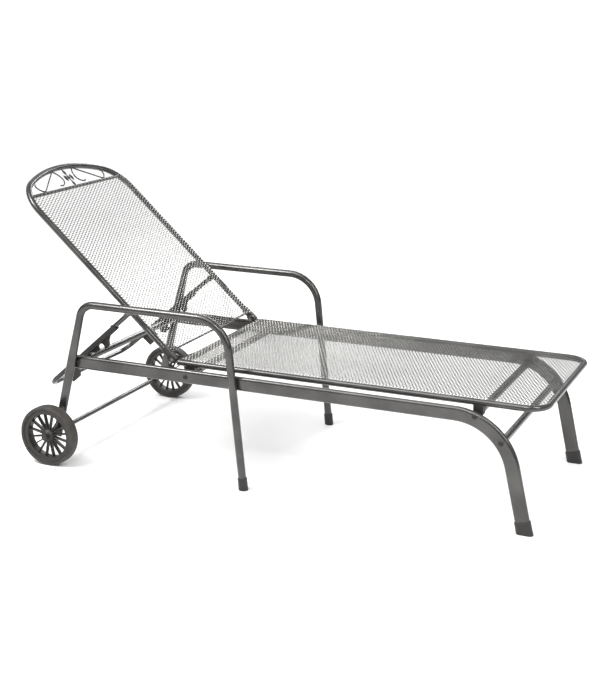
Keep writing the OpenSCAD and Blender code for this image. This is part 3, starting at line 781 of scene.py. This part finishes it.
@dataclass
class FootCap:
    """A plastic cap pushed over the end of a leg, its sole cut level with the ground."""

    name: str
    node: str
    height: float
    width: float
    foot_x: float
    lean_deg: float
    length: float = 40 * MM
    wall: float = 2.8 * MM
    edge: float = 1.2 * MM

    def build(self, paints: Paintbox) -> bpy.types.Object:
        """Makes the cap.

        Args:
            paints: the materials.

        Returns:
            The cap's object.
        """
        low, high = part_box(self.node)
        lean = math.radians(self.lean_deg)
        up = np.array([-math.sin(lean), 0.0, math.cos(lean)])
        side = np.array([math.cos(lean), 0.0, math.sin(lean)])
        origin = np.array([self.foot_x, (low.y + high.y) / 2, 0.0])
        # Insets and lengths up the leg, from the middle of the sole to the lip against the tube.
        steps = [
            (6 * MM, 0.0), (self.edge, 0.0), (self.edge * 0.3, self.edge * 0.3), (0.0, self.edge),
            (0.2 * MM, 8 * MM), (0.2 * MM, 9 * MM), (0.8 * MM, 9.6 * MM), (0.8 * MM, 10.6 * MM),
            (0.2 * MM, 11.2 * MM), (0.4 * MM, self.length - 4 * MM), (0.1 * MM, self.length - 3.4 * MM),
            (0.1 * MM, self.length - self.edge), (self.edge, self.length), (self.wall - 0.1 * MM, self.length),
            (self.wall - 0.1 * MM, self.length - 3 * MM),
        ]
        rings = []
        for inset, rise in steps:
            section = stadium(self.height + 2 * self.wall - 2 * inset, self.width + 2 * self.wall - 2 * inset, 40)
            ring = origin + up * rise + section[:, :1] * side + section[:, 1:] * np.array([0.0, 1.0, 0.0])
            if rise <= 2 * self.edge:
                slide = (rise - ring[:, 2:]) / up[2]
                ring = ring + slide * up
            rings.append(ring)
        shape = Shape.empty()
        shape.add_loft(np.array(rings))
        piece = shape.to_object(self.name, sharp_deg=50.0)
        return dress(piece, Body.FRAME, Slot.BLACK_PLASTIC, paints, [self.node])


# ---------------------------------------------------------------- wheels


@dataclass
class RoadWheel:
    """A moulded wheel with blade spokes, a wide rim, a domed hub and a hard tyre."""

    side: Side
    spokes: int = 16
    radius: float = 100 * MM
    tyre_w: float = 40 * MM
    tyre_h: float = 12 * MM
    rim_h: float = 15 * MM
    rim_w: float = 34 * MM
    hub_r: float = 22 * MM
    hub_w: float = 44 * MM
    bore_r: float = 8 * MM
    blade_t: float = 4.2 * MM
    blade_w: float = 17 * MM

    def revolve(self, profile: Sequence[tuple[float, float]], count: int = 96) -> np.ndarray:
        """Turns a closed profile of radius and height along the axle into rings.

        Args:
            profile: radius and place along the axle of each point, in order.
            count: rings round the axle.

        Returns:
            Rings by profile points by 3, about the wheel's centre.
        """
        turn = np.arange(count) / count * 2 * math.pi
        r, h = np.array(profile, float).T
        return np.stack(
            [np.outer(np.cos(turn), r), np.tile(h, (count, 1)) * self.side.value, np.outer(np.sin(turn), r)], axis=2
        )

    def tyre_profile(self) -> list[tuple[float, float]]:
        """The tyre's section: crowned tread, rounded shoulders, and a groove in each side wall.

        Returns:
            Radius and place along the axle of each point.
        """
        half, inner, outer = self.tyre_w / 2, self.radius - self.tyre_h, self.radius
        right = [
            (inner, half - 2 * MM), (inner + 1 * MM, half), (inner + 3.5 * MM, half), (inner + 4 * MM, half - 0.8 * MM),
            (inner + 4.8 * MM, half - 0.8 * MM), (inner + 5.3 * MM, half), (outer - 5 * MM, half - 0.2 * MM),
            (outer - 2.6 * MM, half - 1 * MM), (outer - 1 * MM, half - 3 * MM), (outer - 0.3 * MM, half - 7 * MM),
            (outer, half - 14 * MM),
        ]
        return right + [(r, -h) for r, h in reversed(right)]

    def rim_profile(self) -> list[tuple[float, float]]:
        """The rim's section: a shallow channel with a raised lip at each edge.

        Returns:
            Radius and place along the axle of each point.
        """
        half, outer = self.rim_w / 2, self.radius - self.tyre_h - 0.1 * MM
        inner = outer - self.rim_h
        right = [
            (outer, half - 0.5 * MM), (outer - 1 * MM, half + 0.6 * MM), (outer - 3 * MM, half + 0.6 * MM),
            (outer - 4 * MM, half - 1 * MM), (outer - 9 * MM, half - 2.2 * MM), (inner + 2 * MM, half - 1.6 * MM),
            (inner + 0.6 * MM, half - 2.4 * MM), (inner, half - 4 * MM),
        ]
        return right + [(r, -h) for r, h in reversed(right)]

    def hub_profile(self) -> list[tuple[float, float]]:
        """The hub's section: a stepped dome round the bore.

        Returns:
            Radius and place along the axle of each point.
        """
        half = self.hub_w / 2
        right = [
            (self.bore_r, half), (self.bore_r + 5 * MM, half), (self.bore_r + 6.2 * MM, half - 1 * MM),
            (self.bore_r + 6.8 * MM, half - 5 * MM), (self.hub_r - 5.5 * MM, half - 6.5 * MM),
            (self.hub_r - 2 * MM, half - 9 * MM), (self.hub_r, half - 13 * MM),
        ]
        return right + [(r, -h) for r, h in reversed(right)]

    def blade(self, angle: float) -> np.ndarray:
        """The rings of one spoke, which narrows from the hub and flares into the rim.

        Args:
            angle: the spoke's turn about the axle.

        Returns:
            Rings by points by 3, about the wheel's centre.
        """
        start, end = self.hub_r - 3 * MM, self.radius - self.tyre_h - self.rim_h + 2 * MM
        out = np.array([math.cos(angle), 0.0, math.sin(angle)])
        round_way = np.array([-math.sin(angle), 0.0, math.cos(angle)])
        rings = []
        for share in (0.0, 0.12, 0.3, 0.6, 0.85, 0.95, 1.0):
            flare = 1.0 + 0.5 * max(0.0, (share - 0.8) / 0.2) ** 2 + 0.5 * max(0.0, (0.25 - share) / 0.25) ** 2
            section = stadium(self.blade_w * (1.0 - 0.12 * share), self.blade_t * flare, 16)
            centre = out * (start + (end - start) * share)
            ring = centre + section[:, :1] * np.array([0.0, 1.0, 0.0]) + section[:, 1:] * round_way
            rings.append(ring)
        return np.array(rings)

    def build(self, paints: Paintbox) -> list[bpy.types.Object]:
        """Makes the wheel and its tyre.

        Args:
            paints: the materials.

        Returns:
            The two objects.
        """
        word = self.side.word
        body = Body.WHEEL_LEFT if self.side is Side.LEFT else Body.WHEEL_RIGHT
        centre = np.array(joint(f"wheel_spin_{word}")["pos_m"], float)
        tyre, wheel = Shape.empty(), Shape.empty()
        tyre.add_loft(self.revolve(self.tyre_profile()) + centre, closed=True)
        wheel.add_loft(self.revolve(self.rim_profile()) + centre, closed=True)
        wheel.add_loft(self.revolve(self.hub_profile(), 64) + centre, closed=True)
        for i in range(self.spokes):
            wheel.add_loft(self.blade((i + 0.5) / self.spokes * 2 * math.pi) + centre)
        tyre_piece = dress(tyre.to_object(f"hard_tyre_{word}"), body, Slot.TYRE_PLASTIC, paints, [f"tyre_{word}"])
        wheel_piece = dress(
            wheel.to_object(f"spoked_wheel_{word}"), body, Slot.WHEEL_PLASTIC, paints, [f"wheel_{word}"]
        )
        return [tyre_piece, wheel_piece]


# ---------------------------------------------------------------- scrollwork


@dataclass
class Scrollwork:
    """Bent wires and a sprig of leaves between the backrest's crossbar and its arch."""

    apex: float = 800 * MM
    crossbar: float = 711 * MM
    wire_d: float = 5 * MM
    leaf_len: float = 27 * MM
    leaf_w: float = 14 * MM
    ball_r: float = 5.5 * MM
    arch_tube_r: float = 10 * MM
    arch_reach: float = 270 * MM
    arch_sag: float = 47 * MM

    def arch(self, y: float) -> float:
        """Where the arch's inner side is.

        Args:
            y: the place across the backrest.

        Returns:
            The length along the backrest.
        """
        return self.apex - self.arch_tube_r - (y / self.arch_reach) ** 2 * self.arch_sag

    def wire(
        self, name: str, points: Sequence[tuple[float, float]], node: str, plane: Plane, paints: Paintbox
    ) -> bpy.types.Object:
        """Makes a wire along a smooth curve, its ends rounded off.

        Args:
            name: the piece's name.
            points: the places it passes, along and across the backrest.
            node: the node that it stands for.
            plane: the backrest's plane.
            paints: the materials.

        Returns:
            The wire's object.
        """
        line = smooth_line(points)
        path = plane.place(line[:, 0], line[:, 1], 0.0)
        girth = np.full(len(line), self.wire_d)
        girth[[0, -1]] *= 0.45
        girth[[1, -2]] *= 0.9
        shape = Shape.empty()
        shape.add_loft(sweep(path, plane.up, girth, girth, 20))
        return dress(shape.to_object(name), Body.BACKREST, Slot.FRAME_STEEL, paints, [node])

    def leaf(self, plane: Plane, s: float, y: float, turn_deg: float) -> np.ndarray:
        """The rings of a leaf: pointed at both ends, domed, with a groove along its midrib.

        Args:
            plane: the backrest's plane.
            s: the leaf's middle, along the backrest.
            y: the leaf's middle, across it.
            turn_deg: the leaf's turn from the backrest's length.

        Returns:
            Rings by points by 3.
        """
        turn = math.radians(turn_deg)
        rings = []
        for share in np.linspace(0, 1, 17):
            half = max(self.leaf_w / 2 * math.sin(math.pi * share) ** 0.8, 0.3 * MM)
            dome = 1.6 * MM * math.sin(math.pi * share)
            place = (share - 0.5) * self.leaf_len
            ripple = 0.25 * MM * math.cos(share * 9 * math.pi)
            ring = []
            for k in range(24):
                angle = k / 24 * 2 * math.pi
                side = math.cos(angle)
                groove = 0.8 * MM * math.exp(-((side / 0.16) ** 2)) * math.sin(math.pi * share)
                lift = math.sin(angle) * (1.1 * MM + dome) * (1 - 0.35 * side * side)
                lift += math.copysign(abs(side) * ripple - groove, lift)
                ds, dy = place, side * half
                ring.append(
                    plane.place(
                        s + ds * math.cos(turn) - dy * math.sin(turn),
                        y + ds * math.sin(turn) + dy * math.cos(turn),
                        lift,
                    )
                )
            rings.append(ring)
        return np.array(rings)

    def sprig(self, plane: Plane, paints: Paintbox) -> bpy.types.Object:
        """Makes the four leaves, the ball between them and their stems.

        Args:
            plane: the backrest's plane.
            paints: the materials.

        Returns:
            The sprig's object.
        """
        shape = Shape.empty()
        middle = (self.crossbar + self.apex) / 2 - 3 * MM
        shape.add_loft(self.leaf(plane, middle + 24 * MM, 0.0, 0.0))
        shape.add_loft(self.leaf(plane, middle - 26 * MM, 0.0, 0.0))
        for side in (-1, 1):
            shape.add_loft(self.leaf(plane, middle - 1 * MM, side * 17 * MM, side * 8.0))
            stem = smooth_line([(middle, 0.0), (middle + 6 * MM, side * 9 * MM), (middle + 12 * MM, side * 17 * MM)], 4)
            path = plane.place(stem[:, 0], stem[:, 1], 0.0)
            girth = np.full(len(stem), 2.6 * MM)
            shape.add_loft(sweep(path, plane.up, girth, girth, 12))
        down = [(self.crossbar, 0.0), (middle, 0.0), (self.apex - 8 * MM, 0.0)]
        stem = smooth_line(down, 4)
        girth = np.full(len(stem), 4.2 * MM)
        shape.add_loft(sweep(plane.place(stem[:, 0], stem[:, 1], 0.0), plane.up, girth, girth, 16))
        lat = np.linspace(-0.48, 0.48, 13) * math.pi
        around = np.arange(24) / 24 * 2 * math.pi
        ball = [
            plane.place(
                middle + self.ball_r * math.cos(a) * np.cos(around),
                self.ball_r * math.cos(a) * np.sin(around),
                self.ball_r * math.sin(a),
            )
            for a in lat
        ]
        shape.add_loft(np.array(ball))
        return dress(shape.to_object("leaf_sprig"), Body.BACKREST, Slot.FRAME_STEEL, paints, ["leaf_ornament"])

    def build(self, plane: Plane, paints: Paintbox) -> list[bpy.types.Object]:
        """Makes the scrolls, the curls and the sprig.

        Args:
            plane: the backrest's plane.
            paints: the materials.

        Returns:
            The objects.
        """
        made = [self.sprig(plane, paints)]
        seat = self.crossbar + 8.6 * MM
        for side in Side:
            y = side.value * MM
            scroll = [
                (self.arch(64 * MM), 64 * y), (seat + 54 * MM, 86 * y), (seat + 30 * MM, 126 * y),
                (seat + 6 * MM, 165 * y), (seat + 0.5 * MM, 177 * y), (seat + 2 * MM, 187 * y),
                (seat + 9 * MM, 197 * y), (seat + 20 * MM, 204 * y), (seat + 29 * MM, 204 * y),
                (seat + 35 * MM, 197 * y),
            ]
            made.append(self.wire(f"scroll_wire_{side.word}", scroll, f"scroll_{side.word}", plane, paints))
            curl = [
                (self.arch(60 * MM) + 2 * MM, 60 * y), (780 * MM, 50 * y), (768 * MM, 42 * y), (754 * MM, 38 * y),
                (742 * MM, 41 * y), (732 * MM, 50 * y), (727 * MM, 62 * y), (727 * MM, 73 * y), (730 * MM, 77 * y),
            ]
            made.append(self.wire(f"curl_wire_{side.word}", curl, f"curl_{side.word}", plane, paints))
        return made


# ---------------------------------------------------------------- studio


@dataclass
class Studio:
    """The floor, the lights and the camera."""

    camera_at: tuple[float, float, float] = (1.6948, -3.8585, 1.5476)
    azimuth_deg: float = 23.59
    dip_deg: float = 15.62
    roll_deg: float = 0.35
    lens_mm: float = 68.5
    floor_size: float = 240.0
    aim: tuple[float, float, float] = (0.1, 0.0, 0.35)
    horizon: str = "#56575a"
    zenith: str = "#fbfcfe"
    sky_strength: float = 0.75
    sun_strength: float = 1.9
    sun_spread_deg: float = 50.0
    sun_tilt_deg: tuple[float, float] = (24.0, -18.0)

    def add_camera(self) -> None:
        """Makes the camera."""
        data = bpy.data.cameras.new("camera")
        data.lens = self.lens_mm
        data.sensor_width = 36.0
        data.clip_end = 400.0
        camera = bpy.data.objects.new("camera", data)
        heading = Matrix.Rotation(math.radians(self.azimuth_deg), 4, "Z")
        dip = Matrix.Rotation(math.radians(90 - self.dip_deg), 4, "X")
        roll = Matrix.Rotation(math.radians(self.roll_deg), 4, "Z")
        camera.matrix_world = Matrix.Translation(self.camera_at) @ heading @ dip @ roll
        bpy.context.scene.collection.objects.link(camera)
        bpy.context.scene.camera = camera

    def add_floor(self) -> None:
        """Makes the floor."""
        half = self.floor_size / 2
        mesh = bpy.data.meshes.new("floor")
        corners = [(-half, -half, 0), (half, -half, 0), (half, half, 0), (-half, half, 0)]
        mesh.from_pydata(corners, [], [(0, 1, 2, 3)])
        mesh.materials.append(StudioFloor().build())
        floor = bpy.data.objects.new("floor", mesh)
        bpy.context.scene.collection.objects.link(floor)

    def add_softbox(self, name: str, at: tuple[float, float, float], size: tuple[float, float], power: float) -> None:
        """Makes a soft light that faces the lounger.

        Args:
            name: the light's name.
            at: where it stands.
            size: its width and height.
            power: its power in watts.
        """
        data = bpy.data.lights.new(name, "AREA")
        data.shape = "RECTANGLE"
        data.size, data.size_y = size
        data.energy = power
        light = bpy.data.objects.new(name, data)
        light.location = at
        light.rotation_euler = (Vector(self.aim) - Vector(at)).to_track_quat("-Z", "Y").to_euler()
        bpy.context.scene.collection.objects.link(light)

    def add_lights(self) -> None:
        """Makes the sky, a broad soft sun and the softboxes."""
        world = bpy.data.worlds.new("studio")
        world.use_nodes = True
        tree = world.node_tree
        tree.nodes.clear()
        place = add_node(tree, "ShaderNodeTexCoord")
        height = add_node(tree, "ShaderNodeSeparateXYZ", links={"Vector": place.outputs["Generated"]})
        ramp = add_node(tree, "ShaderNodeValToRGB", links={"Fac": height.outputs["Z"]})
        ramp.color_ramp.elements[0].position = 0.02
        ramp.color_ramp.elements[0].color = linear(self.horizon)
        ramp.color_ramp.elements[1].position = 0.42
        ramp.color_ramp.elements[1].color = linear(self.zenith)
        sky = add_node(tree, "ShaderNodeBackground", {"Strength": self.sky_strength}, {"Color": ramp.outputs["Color"]})
        add_node(tree, "ShaderNodeOutputWorld", links={"Surface": sky.outputs["Background"]})
        bpy.context.scene.world = world
        sun = bpy.data.lights.new("broad_sun", "SUN")
        sun.energy = self.sun_strength
        sun.angle = math.radians(self.sun_spread_deg)
        light = bpy.data.objects.new("broad_sun", sun)
        light.rotation_euler = (*(math.radians(tilt) for tilt in self.sun_tilt_deg), 0.0)
        bpy.context.scene.collection.objects.link(light)
        self.add_softbox("left_softbox", (-1.65, -1.6, 2.9), (0.9, 0.5), 42.0)
        self.add_softbox("front_softbox", (1.0, -3.1, 3.0), (1.2, 0.35), 30.0)
        self.add_softbox("right_strip", (2.6, -1.2, 2.4), (0.35, 2.2), 38.0)
        self.add_softbox("back_strip", (-0.6, 2.8, 2.0), (2.4, 0.35), 38.0)

    def build(self) -> None:
        """Makes the whole studio."""
        self.add_camera()
        self.add_floor()
        self.add_lights()
        bpy.context.scene.view_settings.view_transform = "Standard"


# ---------------------------------------------------------------- the lounger


@dataclass
class Lounger:
    """Builds the pieces in order and finishes the nodes that stay."""

    tube_d: float = 20 * MM
    seat_rear: float = 27 * MM
    seat_bend: float = 62 * MM
    shoulder_r: float = 120 * MM
    back_mesh_start: float = 21.5 * MM
    crossbar: float = 711 * MM
    shoulder_start: float = 645.5 * MM
    rail_h: float = 45 * MM
    rail_t: float = 20 * MM
    rail_lean_deg: float = 13.2
    arm_d: float = 25 * MM
    arm_lean_deg: float = 6.13

    def build_panels(self, paints: Paintbox) -> None:
        """Makes the seat and backrest panels.

        Args:
            paints: the materials.
        """
        seat_low, seat_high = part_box("seat_mesh")
        hinge_x = joint("backrest_hinge")["pos_m"][0]
        seat_end = seat_high.x - hinge_x
        ExpandedPanel(
            "seat_expanded_metal", "seat_mesh", Body.FRAME, seat_plane(), seat_low.x - hinge_x, seat_end,
            seat_high.y, seat_end - self.seat_bend, self.seat_bend, self.tube_d / 2,
        ).build(paints)
        ExpandedPanel(
            "backrest_expanded_metal", "backrest_mesh", Body.BACKREST, backrest_plane(), self.back_mesh_start,
            self.crossbar, seat_high.y, self.shoulder_start, self.shoulder_r, self.tube_d / 2,
        ).build(paints)

    def build_feet(self, paints: Paintbox) -> None:
        """Makes the four foot caps.

        Args:
            paints: the materials.
        """
        legs = {
            "front_foot": (self.rail_h, self.rail_t, self.rail_lean_deg),
            "arm_foot": (self.arm_d, self.arm_d, self.arm_lean_deg),
        }
        mounts = {m["name"]: m["pos_m"] for m in frame["record"]["mounts"]}
        for side in Side:
            for leg, (height, width, lean) in legs.items():
                name = f"{leg}_{side.word}"
                FootCap(name, f"{leg}_cap_{side.word}", height, width, mounts[name][0], lean).build(paints)

    def finish_nodes(self, paints: Paintbox) -> None:
        """Gives each node that stays its finish.

        Args:
            paints: the materials.
        """
        for part in frame["record"]["subparts"]:
            node = frame["nodes"][part["node"]]
            material = paints.of(Slot(part["material_slot"]))
            if not node.material_slots:
                node.data.materials.append(material)
            for slot in node.material_slots:
                slot.material = material

    def build(self) -> None:
        """Makes every piece."""
        paints = Paintbox()
        self.finish_nodes(paints)
        self.build_panels(paints)
        for side in Side:
            ArmLoop(side).build(paints)
            RoadWheel(side).build(paints)
        self.build_feet(paints)
        Scrollwork().build(backrest_plane(), paints)


def main() -> None:
    """Builds the studio and the lounger."""
    logging.basicConfig(level=logging.INFO, format="%(message)s")
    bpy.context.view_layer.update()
    Studio().build()
    Lounger().build()


if __name__ == "__main__":
    main()
